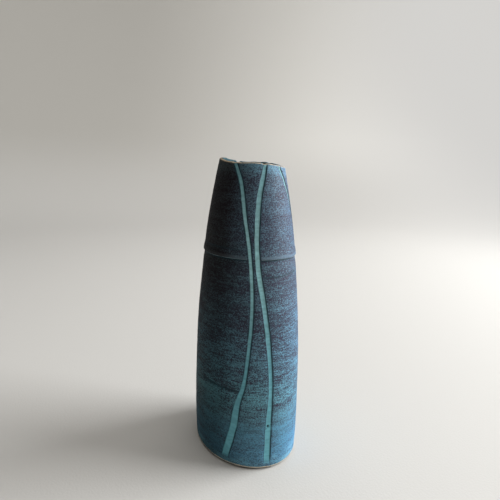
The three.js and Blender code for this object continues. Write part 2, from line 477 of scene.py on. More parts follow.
@dataclass(frozen=True)
class UprightJoint:
    """The upright joint where a wrapped slab's two ends lap, smoothed over but still there."""

    turn: float
    proud: float = 0.35 * MM
    ramp: float = 9.0 * MM
    crest: float = 1.8 * MM
    drop: float = 2.6 * MM

    def relief(self, side: Array) -> Array:
        """Returns how far the surface stands out to one side of the joint's edge.

        Args:
            side: How far each place lies from the joint's edge.

        Returns:
            The relief at each place.
        """
        before = smooth(side, -self.ramp, -self.crest)
        after = 1.0 - smooth(side, 0.0, self.drop)
        return self.proud * np.where(side < 0.0, before, after)


class Surface:
    """The vase's real outer surface: the measured outline with all its hand-made relief."""

    SCARS = (
        Scar(55.2, -90, -41, depth=0.22 * MM, reach=1.15 * MM, darkness=1.0),
        Scar(129.8, -20, 44, depth=0.14 * MM, reach=0.8 * MM, rise=1.8 * MM, darkness=0.8),
        # The next mark's darkness is painted shade in the crease above the lip.
        Scar(146.9, -118, -44, depth=0.12 * MM, reach=0.8 * MM, darkness=0.5),
        Scar(52.2, -41, -34, reach=0.6 * MM),
        Scar(44.4, -36, -28, reach=0.6 * MM),
        Scar(54.9, 9, 19, reach=0.6 * MM),
        Scar(118.0, -112, -84, reach=0.8 * MM, rise=-3.0 * MM, darkness=0.6),
        Scar(38.6, 118, 160, depth=0.15 * MM, darkness=0.6),
        Scar(96.0, 176, 214, depth=0.12 * MM, darkness=0.6),
    )
    PITS = (
        Pit(-10.6, 31.8, 1.25 * MM, 0.48 * MM),
        Pit(-6.9, 32.5, 0.70 * MM, 0.30 * MM),
        Pit(-12.6, 29.9, 0.50 * MM, 0.22 * MM),
        Pit(161.0, 71.0, 0.60 * MM, 0.25 * MM),
    )
    GROOVE = 0.42 * MM
    UNDERCUT = 1.1 * MM
    LAP_SOFTNESS = 3.5 * MM
    CARVED_EDGE = (0.30 * MM, 0.80 * MM)
    CARVED_RUN_OUT = 3 * MM
    CARVED_BELOW_RIM = (0.5 * MM, 1.3 * MM)
    INSIDE_SHARE = 0.35

    def __init__(self, body: VaseBody, routes: list[LineRoute]) -> None:
        """Sets the marks on the measured body.

        Args:
            body: The measured vase.
            routes: The routes of the glaze lines.
        """
        self.body = body
        self.routes = routes
        self.hand = HandWork()
        self.lip = Lip()
        low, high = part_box("lower_joint_strip")
        self.joint = UprightJoint(body.turn_of((low + high) / 2))

    def hand_relief(self, turn: Array, height: Array) -> Array:
        """Returns how far the plain surface stands out from the outline at a place."""
        side = (nearest_turn(turn, self.joint.turn) - self.joint.turn) * self.body.radius(height)
        return self.hand.relief(self.body.place(turn, height, 0.0)) + self.joint.relief(side)

    def scars(self, turn: Array, height: Array) -> tuple[Array, Array]:
        """Returns the relief and the darkness of the marks in the glaze at a place."""
        return self.together((scar, scar.amount(turn, height)) for scar in self.SCARS)

    def pits(self, turn: Array, height: Array) -> tuple[Array, Array]:
        """Returns the relief of the craters at a place, and the painted shade inside them."""
        return self.together((pit, pit.amount(self.body, turn, height)) for pit in self.PITS)

    @staticmethod
    def together(found: Iterable[tuple[Scar | Pit, Array]]) -> tuple[Array, Array]:
        """Returns the relief and the darkness of several marks, each with its strength at a place.

        Args:
            found: Each mark, with how strong it is at every place.

        Returns:
            The summed relief and the strongest darkness at every place.
        """
        relief, darkness = 0.0, 0.0
        for mark, amount in found:
            relief = relief - mark.depth * amount
            darkness = np.maximum(darkness, mark.darkness * amount)
        return relief, darkness

    def lap(self, turn: Array, height: Array) -> Array:
        """Returns how far the lap stands out at a place, above its edge or below it."""
        rise = height - self.lip.edge(self.body.seam, turn)
        return np.where(rise >= 0.0, self.lip.above(rise), self.lip.below(-rise))

    def soft_lap(self, turn: Array, height: Array) -> Array:
        """Returns the lap with its edge smoothed away, as it is under a glaze line.

        Args:
            turn: The turns of the places.
            height: The heights of the places.

        Returns:
            The relief at each place.
        """
        rise = height - self.lip.edge(self.body.seam, turn)
        mixed = smooth(rise, -self.LAP_SOFTNESS, self.LAP_SOFTNESS)
        above, below = self.lip.above(np.maximum(rise, 0.0)), self.lip.below(np.maximum(-rise, 0.0))
        return mixed * above + (1.0 - mixed) * below

    def carved(self, turn: Array, height: Array) -> Array:
        """Returns how deep the wall is cut away at a place to let a glaze line in.

        Args:
            turn: The turns of the places.
            height: The heights of the places.

        Returns:
            The depth of the cut at each place.
        """
        deepest = np.zeros_like(turn)
        for route in self.routes:
            beyond = np.abs(route.side(turn, height)) - route.half_width(height)
            inside = 1.0 - smooth(beyond, *self.CARVED_EDGE)
            ends = smooth(height, route.bottom - self.CARVED_RUN_OUT, route.bottom)
            deepest = np.maximum(deepest, inside * ends)
        below_rim = self.body.rim(turn) - height
        return self.UNDERCUT * deepest * smooth(below_rim, *self.CARVED_BELOW_RIM)

    def stand(self, turn: Array, height: Array, outer: Array, relief: Array) -> Array:
        """Returns how far a wall stands out from its plain section at a place.

        Args:
            turn: The turns of the places.
            height: Their heights.
            outer: 1 on the wall's outside and 0 on its inside, which is plainer.
            relief: Relief that only the outside has, such as marks in the glaze.
        """
        hand = self.hand_relief(turn, height) * (self.INSIDE_SHARE + (1.0 - self.INSIDE_SHARE) * outer)
        return hand + outer * (relief - self.carved(turn, height))


# ---------------------------------------------------------------- making meshes


class Blank:
    """A plain mesh whose corners are then moved to their places all together."""

    def __init__(self, mesh: bmesh.types.BMesh) -> None:
        """Reads where the corners are."""
        self.mesh = mesh
        self.x, self.y, self.z = np.array([vertex.co for vertex in mesh.verts]).T

    @property
    def turn(self) -> Array:
        """The corners' turns."""
        return np.arctan2(self.y, self.x)

    @property
    def depth(self) -> Array:
        """The corners' depths inwards."""
        return REFERENCE_RADIUS - np.hypot(self.x, self.y)

    def mark(self, mark: Mark, amounts: Array) -> None:
        """Writes an amount on every corner for the glaze to read.

        Args:
            mark: What the amounts say.
            amounts: An amount for every corner.
        """
        layer = self.mesh.verts.layers.float.new(mark.value)
        for vertex, amount in zip(self.mesh.verts, amounts.tolist()):
            vertex[layer] = amount

    def move(self, places: Array) -> None:
        """Moves every corner to its place.

        Args:
            places: A place for every corner, one a row.
        """
        for vertex, place in zip(self.mesh.verts, places.tolist()):
            vertex.co = place
        bmesh.ops.recalc_face_normals(self.mesh, faces=self.mesh.faces[:])

    def finish(self, name: str, material: bpy.types.Material, slot: Slot, *nodes: str) -> None:
        """Turns the mesh into a piece of the vase.

        Args:
            name: The piece's name.
            material: Its finish.
            slot: The record's slot for it; not used.
            *nodes: The frame's nodes that it stands for.
        """
        piece = mesh_object(name, self.mesh, material)
        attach(piece, BODY)
        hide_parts(*nodes)
        log.info("%s: %d faces, stands for %s", name, len(piece.data.polygons), ", ".join(nodes))


def mesh_object(name: str, mesh: bmesh.types.BMesh, material: bpy.types.Material) -> bpy.types.Object:
    """Makes a smooth-shaded object of a mesh, and frees the mesh.

    Args:
        name: The object's name.
        mesh: The mesh, which is freed.
        material: Its finish.

    Returns:
        The object, in the scene.
    """
    for face in mesh.faces:
        face.smooth = True
    data = bpy.data.meshes.new(name)
    mesh.to_mesh(data)
    mesh.free()
    data.materials.append(material)
    made = bpy.data.objects.new(name, data)
    bpy.context.scene.collection.objects.link(made)
    return made


def levels(start: float, end: float, step: float) -> list[float]:
    """Returns heights from start to end, about a step apart, both ends included."""
    count = max(1, round(abs(end - start) / step))
    return [start + (end - start) * i / count for i in range(count + 1)]


def arc(radius: float, angles: tuple[int, ...]) -> Profile:
    """Returns points on a circle of a radius about its middle, at angles in degrees."""
    return [(radius * math.cos(math.radians(a)), radius * math.sin(math.radians(a))) for a in angles]


def spun(profile: Profile, steps: int, closed: bool = True) -> bmesh.types.BMesh:
    """Bends a grid right round, with a profile of depth and height as its rows.

    Args:
        profile: Depth inwards and height of each row.
        steps: How many columns go round.
        closed: Whether the last row joins the first, which makes a ring.

    Returns:
        The mesh, with depth measured inwards from the reference radius.
    """
    rows = profile + profile[:1] if closed else profile
    mesh = bmesh.new()
    bmesh.ops.create_grid(mesh, x_segments=steps, y_segments=len(rows) - 1, size=0.5)
    for vertex in mesh.verts:
        turn = math.tau * (vertex.co.x + 0.5)
        depth, height = rows[round((vertex.co.y + 0.5) * (len(rows) - 1))]
        radius = REFERENCE_RADIUS - depth
        vertex.co = (radius * math.cos(turn), radius * math.sin(turn), height)
    bmesh.ops.remove_doubles(mesh, verts=mesh.verts[:], dist=1e-7)
    return mesh


def flat_tube(sides: int, rings: int) -> bmesh.types.BMesh:
    """Makes a closed tube of unit radius from -1 to 1, cut into even rings.

    Args:
        sides: How many sides it has.
        rings: How many cuts go across it.

    Returns:
        The tube, along z.
    """
    mesh = bmesh.new()
    bmesh.ops.create_cone(mesh, cap_ends=True, segments=sides, radius1=1.0, radius2=1.0, depth=2.0)
    uprights = [edge for edge in mesh.edges if abs(edge.verts[0].co.z - edge.verts[1].co.z) > 1.0]
    bmesh.ops.subdivide_edges(mesh, edges=uprights, cuts=rings, use_grid_fill=True)
    return mesh


@dataclass(frozen=True)
class LowerWall:
    """The lower slab: glazed outside down to just above the foot, and lapped at the top."""

    surface: Surface
    row: float = 0.8 * MM
    inner_row: float = 4.0 * MM
    steps: int = 380
    glaze_end: float = 1.95 * MM
    ragged: float = 0.25 * MM
    ragged_grain: float = 7.0
    ragged_below: tuple[float, float] = (3.0 * MM, 6.0 * MM)
    shoulder: float = 1.2 * MM
    under_lap: float = 0.6 * MM
    outside_depths: tuple[float, float] = (1.2 * MM, 2.4 * MM)
    shade_below_lip: tuple[float, float] = (1.3 * MM, 0.35 * MM)

    def profile(self) -> Profile:
        """Returns the wall's section: the outside, the tongue, and the inside.

        Returns:
            The depth and height of each row.
        """
        body, end = self.surface.body, self.glaze_end
        shoulder = body.seam + self.shoulder
        edge = [(0.75 * MM, end + 0.1 * MM), (0.3 * MM, end), (0.08 * MM, end + 0.15 * MM)]
        outside = [(0.0, height) for height in levels(end + 0.5 * MM, shoulder, self.row)]
        tongue = [(1.6 * MM, shoulder + 0.4 * MM), (2.0 * MM, body.tongue_top)]
        inner_rows = levels(body.tongue_top, body.wall_foot, self.inner_row)
        inside = [(float(body.thickness.at(height)), height) for height in inner_rows]
        return edge + outside + tongue + inside

    def build(self) -> Blank:
        """Spins the section and moves it onto the hand-made surface.

        Returns:
            The wall, in place.
        """
        surface, body = self.surface, self.surface.body
        blank = Blank(spun(self.profile(), self.steps))
        turn, depth = blank.turn, blank.depth
        ragged = self.ragged * rough_round(turn, self.ragged_grain, 1.0)
        height = blank.z + ragged * (1.0 - smooth(blank.z, *self.ragged_below))
        outer = 1.0 - smooth(depth, *self.outside_depths)
        scar_relief, scar_dark = surface.scars(turn, height)
        pit_relief, pit_dark = surface.pits(turn, height)
        lapped = surface.lap(turn, np.minimum(height, body.seam - self.under_lap))
        stand = surface.stand(turn, height, outer, lapped + scar_relief + pit_relief)
        # Painted shade: the lower wall is darkened just under the lip, where the lip's shadow falls.
        below_lip = surface.lip.edge(body.seam, turn) - height
        painted_shade_under_lip = 1.0 - smooth(below_lip, *reversed(self.shade_below_lip))
        blank.mark(Mark.INSIDE, 1.0 - outer)
        blank.mark(Mark.POOL_AND_SHADE, np.maximum(np.maximum(painted_shade_under_lip, scar_dark), pit_dark))
        blank.move(body.place(turn, height, depth - stand))
        return blank


@dataclass(frozen=True)
class UpperWall:
    """The upper slab: a soft lip at its bottom edge and a hand-cut rim."""

    surface: Surface
    row: float = 0.7 * MM
    inner_row: float = 2.5 * MM
    steps: int = 340
    level_part: float = 12.0 * MM
    rim_round: float = 0.75 * MM
    rim_waver: float = 0.28 * MM
    rim_grain: float = 4.0
    outside_depths: tuple[float, float] = (1.2 * MM, 2.6 * MM)
    worn_below_rim: tuple[float, float] = (0.85 * MM, 0.25 * MM)
    worn_depth: float = 0.35 * MM
    lip_rises: tuple[float, float] = (-0.4 * MM, 3.4 * MM)

    def profile(self) -> Profile:
        """Returns the wall's section: the lip, the outside, the rim, the inside and the lap.

        Returns:
            The depth and height of each row.
        """
        body, turn_in = self.surface.body, self.rim_round
        top, bottom = body.rim_mean, body.seam
        wall = float(body.thickness.at(top))
        lip = [(1.9 * MM, bottom + 0.45 * MM), (1.1 * MM, bottom + 0.10 * MM), (0.55 * MM, bottom),
               (0.25 * MM, bottom + 0.06 * MM), (0.07 * MM, bottom + 0.22 * MM)]
        outside = [(0.0, height) for height in levels(bottom + 0.5 * MM, top - turn_in, self.row)]
        rim = [(turn_in - x, top - turn_in + z) for x, z in arc(turn_in, (25, 50, 75))]
        rim += [(0.4 * wall, top + 0.05 * MM), (0.6 * wall, top + 0.05 * MM)]
        rim += [(wall - turn_in + x, top - turn_in + z) for x, z in arc(turn_in, (75, 50, 25))]
        lap_top = body.tongue_top + 0.3 * MM
        inner_rows = levels(top - turn_in, lap_top, self.inner_row)
        inside = [(float(body.thickness.at(height)), height) for height in inner_rows]
        return lip + outside + rim + inside + [(1.7 * MM, lap_top - 0.5 * MM)]

    def actual_height(self, turn: Array, height: Array) -> Array:
        """Returns where a level of the section comes to at a turn, under the uneven rim.

        Args:
            turn: The turns of the places.
            height: The levels in the section.

        Returns:
            The actual heights.
        """
        body = self.surface.body
        start = body.seam + self.level_part
        fall = self.surface.lip.edge(body.seam, turn) - body.seam
        low = height + fall * (1.0 - smooth(height, body.seam, start))
        rim = body.rim(turn) + self.rim_waver * rough_round(turn, self.rim_grain, 9.0)
        high = start + (height - start) * (rim - start) / (body.rim_mean - start)
        return np.where(height <= start, low, high)

    def build(self) -> Blank:
        """Spins the section and moves it onto the hand-made surface.

        Returns:
            The wall, in place.
        """
        surface, body = self.surface, self.surface.body
        wall = float(body.thickness.at(body.rim_mean))
        blank = Blank(spun(self.profile(), self.steps))
        turn, depth = blank.turn, blank.depth
        height = self.actual_height(turn, blank.z)
        outer = 1.0 - smooth(depth, *self.outside_depths)
        scar_relief, scar_dark = surface.scars(turn, height)
        lapped = surface.lap(turn, np.maximum(height, surface.lip.edge(body.seam, turn)))
        near_rim = 1.0 - smooth(body.rim_mean - blank.z, *reversed(self.worn_below_rim))
        blank.mark(Mark.INSIDE, 1.0 - outer)
        blank.mark(Mark.BARE, near_rim * bump(depth, self.worn_depth, 0.5 * wall))
        blank.mark(Mark.POOL_AND_SHADE, scar_dark)
        blank.mark(Mark.LIP, outer * (1.0 - smooth(blank.z - body.seam, *self.lip_rises)))
        blank.move(body.place(turn, height, depth - surface.stand(turn, height, outer, lapped + scar_relief)))
        return blank


@dataclass(frozen=True)
class BaseSlab:
    """The bare clay floor slab, with its chamfered foot."""

    surface: Surface
    steps: int = 300
    chamfer: float = 1.4 * MM
    set_back: float = 0.22 * MM
    clearance: float = 0.3 * MM
    burr: float = 0.12 * MM
    burr_grain: tuple[float, float] = (9.0, 300.0)

    def profile(self) -> Profile:
        """Returns the slab's edge: bottom, chamfer, flange and plug.

        Returns:
            The depth and height of each row.
        """
        body, back, chamfer, clear = self.surface.body, self.set_back, self.chamfer, self.clearance
        plug = float(body.thickness.at(body.floor)) + clear
        top = body.wall_foot - clear
        return [
            (chamfer + back + 0.35 * MM, 0.0),
            (chamfer + back - 0.05 * MM, 0.10 * MM),
            (back + 0.25 * MM, chamfer - 0.12 * MM),
            (back, chamfer + 0.2 * MM),
            (back, top - 0.3 * MM),
            (back + 0.3 * MM, top),
            (plug, top),
            (plug, body.floor - 0.4 * MM),
            (plug + 0.4 * MM, body.floor),
        ]

    def build(self) -> Blank:
        """Spins the edge, fills the two faces and roughens the outside.

        Returns:
            The slab, in place.
        """
        mesh = spun(self.profile(), self.steps, closed=False)
        rims = [edge for edge in mesh.edges if edge.is_boundary]
        bmesh.ops.holes_fill(mesh, edges=rims, sides=0)
        blank = Blank(mesh)
        turn, height = blank.turn, blank.z
        across, up = self.burr_grain
        burr = self.burr * rough_round(turn, across, height * up)
        stand = burr * smooth(height, 0.0, self.chamfer) + self.surface.hand_relief(turn, height)
        blank.move(self.surface.body.place(turn, height, blank.depth - stand))
        return blank


@dataclass(frozen=True)
class Coil:
    """A coil of clay pressed and smoothed along a joint on the inside, right round."""

    node: str
    size: float
    steps: int = 240
    sunk: float = 0.3 * MM
    pressed: float = 0.35 * MM
    pressed_grain: tuple[float, float] = (6.0, 60.0)

    def profile(self, body: VaseBody) -> Profile:
        """Returns the coil's section, a smooth fillet or a low mound against the wall.

        Args:
            body: The measured vase.

        Returns:
            The depth and height of each row.
        """
        low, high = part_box(self.node)[0].z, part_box(self.node)[1].z
        middle, reach = (low + high) / 2, (high - low) / 2
        wall = float(body.thickness.at(middle)) + 0.02 * MM
        if self.size > reach:
            angles = [math.radians(a) for a in range(90, -1, -10)]
            hollow = [(self.size * (1 - math.sin(a)), 2 * reach * (1 - math.cos(a))) for a in angles]
            return [(wall, low)] + [(wall + x, low + z) for x, z in hollow]
        angles = [math.radians(a) for a in range(75, -76, -15)]
        mound = [(wall + self.size * math.cos(a), middle + reach * math.sin(a)) for a in angles]
        return [(wall - self.sunk, low), (wall - self.sunk, high)] + mound

    def build(self, surface: Surface) -> Blank:
        """Spins the coil and presses finger marks into it.

        Args:
            surface: The vase's hand-made surface.

        Returns:
            The coil, in place.
        """
        blank = Blank(spun(self.profile(surface.body), self.steps))
        across, up = self.pressed_grain
        pressed = self.pressed * rough_round(blank.turn, across, blank.z * up)
        blank.mark(Mark.INSIDE, np.ones_like(blank.z))
        blank.move(surface.body.place(blank.turn, blank.z, blank.depth + pressed))
        return blank


@dataclass(frozen=True)
class JointStrip:
    """A strip of clay smoothed over an upright joint on the inside."""

    node: str
    width: float = 8.0 * MM
    proud: float = 1.5 * MM
    sunk: float = 0.2 * MM
    sides: int = 20
    rings: int = 60
    pressed: float = 0.2
    pressed_grain: float = 110.0
    end_blunt: float = 5.0

    def build(self, surface: Surface) -> Blank:
        """Flattens a tube against the wall's inner face.

        Args:
            surface: The vase's hand-made surface.

        Returns:
            The strip, in place.
        """
        body = surface.body
        low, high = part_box(self.node)[0].z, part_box(self.node)[1].z
        blank = Blank(flat_tube(self.sides, self.rings))
        along = (blank.z + 1.0) / 2.0
        height = low + (high - low) * along
        end = np.minimum(1.0, self.end_blunt * np.sqrt(np.clip(along * (1.0 - along), 0.0, 1.0)))
        pressed = 1.0 + self.pressed * rough(height * self.pressed_grain, 3.0, 0.0)
        rise = np.where(blank.y > 0.0, self.proud * end * pressed, self.sunk)
        turn = surface.joint.turn + blank.x * self.width / 2 * pressed / body.radius(height)
        blank.mark(Mark.INSIDE, np.ones_like(height))
        blank.move(body.place(turn, height, body.thickness.at(height) + rise * blank.y))
        return blank


@dataclass(frozen=True)
class GlazeLine:
    """A carved line with pale glaze in it, and dark edges: glaze pools along both, and painted shade darkens
    the right one.
    """

    node: str
    route: LineRoute
    sides: int = 44
    rings: int = 420
    skirt: float = 1.15 * MM
    skirt_level_share: float = 0.75
    sunk_edge: float = 0.12 * MM
    shoulder: float = 0.36 * MM
    crown: float = 0.07 * MM
    above_wall: float = 0.03 * MM
    run_out: float = 2.0 * MM
    fade: float = 3.5 * MM
    rim_run_out: tuple[float, float] = (0.6 * MM, 2.2 * MM)
    below_rim: float = 0.55 * MM
    body_depth: float = 0.9 * MM
    body_round: float = 0.5 * MM
    ragged: float = 0.20 * MM
    ragged_grain: float = 420.0
    core_edge: tuple[float, float] = (-0.16 * MM, 0.20 * MM)
    pool_and_shade_middle: float = 0.26 * MM
    pool_and_shade_reach: float = 0.74 * MM
    pool_and_shade_grain: float = 110.0

    def fading(self, height: Array) -> Array:
        """Returns 0 at the line's bottom end, rising to 1 where it is fully itself."""
        return smooth(height, self.route.bottom - self.run_out, self.route.bottom + self.fade)

    def stand(self, surface: Surface, side: Array, turn: Array, height: Array) -> Array:
        """Returns how far the line's face stands out from the outline at a place.

        Args:
            surface: The vase's hand-made surface.
            side: How far each place lies from the line's middle.
            turn: The turns of the places.
            height: The heights of the places.

        Returns:
            How far the face stands out at each place.
        """
        half = self.route.half_width(height)
        beyond = np.abs(side) - half
        groove = (1.0 - smooth(beyond, -self.sunk_edge, self.shoulder)) * self.fading(height)
        groove *= smooth(surface.body.rim(turn) - height, *self.rim_run_out)
        hand = surface.hand_relief(turn, height)
        scar_relief, _ = surface.scars(turn, height)
        pit_relief, _ = surface.pits(turn, height)
        flush = hand + surface.lap(turn, height) + scar_relief + self.above_wall
        hollow = self.crown * (side / half) ** 2
        floor = hand + surface.soft_lap(turn, height) - surface.GROOVE + hollow
        sink = self.sunk_edge * smooth(beyond, self.skirt_level_share * self.skirt, self.skirt)
        return flush * (1.0 - groove) + floor * groove - sink + pit_relief

    def pooled_and_shaded(self, side: Array, height: Array) -> Array:
        """Returns how dark the line's two edges are, unevenly: glaze pooling along both, and painted shade
        making the right edge darker.

        Args:
            side: How far each place lies from the line's middle.
            height: The heights of the places.

        Returns:
            The darkness at each place, from 0 to 1.
        """
        shift = self.route.top * 40.0
        uneven = 1.1 * rough(height * self.pool_and_shade_grain, np.sign(side) * 5.0, shift)
        # Painted shade: the right edge, whose groove wall faces away from the light, is darker.
        uneven = np.clip(0.75 + 0.25 * np.sign(side) + uneven, 0.15, 1.0)
        beyond = np.abs(side) - self.route.half_width(height)
        edge = np.minimum(1.0, 1.4 * bump(beyond, self.pool_and_shade_middle, self.pool_and_shade_reach))
        return edge * self.fading(height) * uneven

    def build(self, surface: Surface) -> Blank:
        """Lays a flattened tube along the groove.

        Args:
            surface: The vase's hand-made surface.

        Returns:
            The line, in place.
        """
        body, route = surface.body, self.route
        blank = Blank(flat_tube(self.sides, self.rings))
        bottom = route.bottom - self.run_out
        top = float(body.rim(route.middle.values[-1])) - self.below_rim
        height = bottom + (top - bottom) * (blank.z + 1.0) / 2.0
        half = route.half_width(height)
        side = blank.x * (half + self.skirt)
        turn = route.turn(height) + side / body.radius(height)
        ragged = self.ragged * rough(np.sign(side) * 7.0, height * self.ragged_grain, route.top * 40.0)
        core = 1.0 - smooth(np.abs(side) + ragged - half, *self.core_edge)
        _, scar_dark = surface.scars(turn, height)
        _, pit_dark = surface.pits(turn, height)
        blank.mark(Mark.TRAIL, core * self.fading(height))
        dark = np.maximum(self.pooled_and_shaded(side, height), scar_dark * (1.0 - core))
        blank.mark(Mark.POOL_AND_SHADE, np.maximum(dark, pit_dark))
        face = self.stand(surface, side, turn, height)
        stand = np.where(blank.y >= -0.01, face, -self.body_depth + self.body_round * blank.y)
        blank.move(body.place(turn, height, -stand))
        return blank


# ---------------------------------------------------------------- finishes


@dataclass(frozen=True)
class Grain:
    """A noise pattern, with its grain in millimetres round the vase and up it.

    Detail counts the octaves of finer noise and roughness is how strong they are. Shift moves
    the pattern, so that two differ, and warp is how far it folds over itself.
    """

    across: float
    up: float
    detail: float = 2.0
    roughness: float = 0.5
    shift: float = 0.0
    warp: float = 0.0


class Graph:
    """A material's node tree, with short calls for the nodes that the finishes use."""

    def __init__(self, name: str) -> None:
        """Starts a material with a principled shader.

        Args:
            name: The material's name.
        """
        self.material = bpy.data.materials.new(name)
        self.material.use_nodes = True
        self.tree = self.material.node_tree
        self.shader = self.tree.nodes["Principled BSDF"]
        place = self.tree.nodes.new("ShaderNodeTexCoord")
        self.mm = self.vector("SCALE", place.outputs["Object"], 1.0 / MM)

    def link(self, value: Socket | float | tuple, socket: Socket) -> None:
        """Links a socket, or sets a plain value.

        Args:
            value: A socket, or the value itself.
            socket: The socket that takes it.
        """
        if isinstance(value, bpy.types.NodeSocket):
            self.tree.links.new(value, socket)
        else:
            socket.default_value = value

    def math(self, operation: str, *values: Socket | float, clamp: bool = False) -> Socket:
        """Adds a Math node and returns its output.

        Args:
            operation: The node's operation.
            *values: Its inputs in order.
            clamp: Whether to keep the result from 0 to 1.

        Returns:
            The node's output.
        """
        node = self.tree.nodes.new("ShaderNodeMath")
        node.operation = operation
        node.use_clamp = clamp
        for value, socket in zip(values, node.inputs):
            self.link(value, socket)
        return node.outputs[0]

    def vector(self, operation: str, first: Socket,
               second: Socket | float | tuple | None = None) -> Socket:
        """Adds a Vector Math node and returns its output.

        Args:
            operation: The node's operation.
            first: The first vector.
            second: The second vector, or the scale, if it takes one.

        Returns:
            The node's output.
        """
        node = self.tree.nodes.new("ShaderNodeVectorMath")
        node.operation = operation
        self.link(first, node.inputs[0])
        if second is not None:
            self.link(second, node.inputs["Scale"] if operation == "SCALE" else node.inputs[1])
        return node.outputs["Value"] if operation == "DOT_PRODUCT" else node.outputs[0]

    def height(self) -> Socket:
        """Returns the height above the foot in millimetres."""
        return self.along(Vector((0.0, 0.0, 1.0)))

    def noise(self, grain: Grain) -> Socket:
        """Adds a noise pattern, from about -0.5 to 0.5.

        Args:
            grain: The pattern.

        Returns:
            The noise.
        """
        across, shift = 1 / grain.across, grain.shift
        stretched = self.vector("MULTIPLY", self.mm, (across, across, 1 / grain.up))
        moved = self.vector("ADD", stretched, (shift, shift * 0.7, shift * 1.3))
        node = self.tree.nodes.new("ShaderNodeTexNoise")
        self.link(moved, node.inputs["Vector"])
        node.inputs["Scale"].default_value = 1.0
        node.inputs["Detail"].default_value = grain.detail
        node.inputs["Roughness"].default_value = grain.roughness
        node.inputs["Distortion"].default_value = grain.warp
        return self.math("SUBTRACT", node.outputs["Fac"], 0.5)

    def blend(self, *parts: tuple[Socket, Socket | float]) -> Socket:
        """Adds up sockets, each times its weight.

        Args:
            *parts: Each socket with its weight.

        Returns:
            The sum.
        """
        total: Socket | float = 0.0
        for part, weight in parts:
            total = self.math("MULTIPLY_ADD", part, weight, total)
        return total

    def ease(self, value: Socket, start: float, end: float) -> Socket:
        """Maps a value smoothly to 0 at start and 1 at end.

        Args:
            value: The value.
            start: Where it gives 0.
            end: Where it gives 1.

        Returns:
            The mapped value.
        """
        node = self.tree.nodes.new("ShaderNodeMapRange")
        node.interpolation_type = "SMOOTHSTEP"
        self.link(value, node.inputs["Value"])
        node.inputs["From Min"].default_value = start
        node.inputs["From Max"].default_value = end
        return node.outputs[0]

    def band(self, value: Socket, low: float, high: float, soft: float) -> Socket:
        """Returns 1 between two values, falling to 0 over a soft edge on both sides."""
        below = self.ease(self.math("MULTIPLY", value, -1.0), -high - soft, -high + soft)
        return self.math("MULTIPLY", self.ease(value, low - soft, low + soft), below)

    def scaled(self, value: Socket, scale: float, start: float) -> Socket:
        """Returns a value times a scale, plus a start."""
        return self.math("MULTIPLY_ADD", value, scale, start)

    def along(self, direction: Vector) -> Socket:
        """Returns how many millimetres a place lies along a direction."""
        return self.vector("DOT_PRODUCT", self.mm, tuple(direction))

    def multiply(self, first: Socket | Colour, second: Socket | Colour) -> Socket:
        """Multiplies two colours."""
        return self.mix(1.0, first, second, "MULTIPLY")

    def mix(self, amount: Socket | float, first: Socket | Colour, second: Socket | Colour,
            blend: str = "MIX") -> Socket:
        """Mixes two colours.

        Args:
            amount: The share of the second colour.
            first: The first colour.
            second: The second colour.
            blend: The node's way of mixing.

        Returns:
            The mixed colour.
        """
        node = self.tree.nodes.new("ShaderNodeMix")
        node.data_type = "RGBA"
        node.blend_type = blend
        self.link(amount, node.inputs[0])
        for value, socket in ((first, node.inputs[6]), (second, node.inputs[7])):
            self.link(value if isinstance(value, bpy.types.NodeSocket) else (*value, 1.0), socket)
        return node.outputs[2]

    def ramp(self, value: Socket, stops: tuple[tuple[float, Colour], ...]) -> Socket:
        """Maps a value to colours along a ramp.

        Args:
            value: The value, from 0 to 1.
            stops: The places of the colours along the ramp.

        Returns:
            The colour.
        """
        node = self.tree.nodes.new("ShaderNodeValToRGB")
        elements = node.color_ramp.elements
        while len(elements) < len(stops):
            elements.new(0.5)
        for element, (position, colour) in zip(elements, stops):
            element.position = position
            element.color = (*colour, 1.0)
        self.link(value, node.inputs[0])
        return node.outputs[0]

    def mark(self, mark: Mark) -> Socket:
        """Reads an amount that the piece's points carry.

        Args:
            mark: What to read.

        Returns:
            The amount, 0 on a piece that lacks the mark.
        """
        node = self.tree.nodes.new("ShaderNodeAttribute")
        node.attribute_name = mark.value
        return node.outputs["Fac"]

    def roughness_from(self, grain: Grain, scale: float, middle: float) -> None:
        """Sets an uneven roughness about a middle value."""
        self.link(self.scaled(self.noise(grain), scale, middle), self.shader.inputs["Roughness"])

    def bump_from(self, height: Socket, distance: float, strength: float) -> None:
        """Raises the shader's surface by a height, in metres at full strength.

        Args:
            height: The height to follow.
            distance: The relief's size.
            strength: The share of it that shows.
        """
        node = self.tree.nodes.new("ShaderNodeBump")
        node.inputs["Strength"].default_value = strength
        node.inputs["Distance"].default_value = distance
        self.link(height, node.inputs["Height"])
        self.link(node.outputs[0], self.shader.inputs["Normal"])


def grey(value: float) -> Colour:
    """Returns an even grey."""
    return (value, value, value)


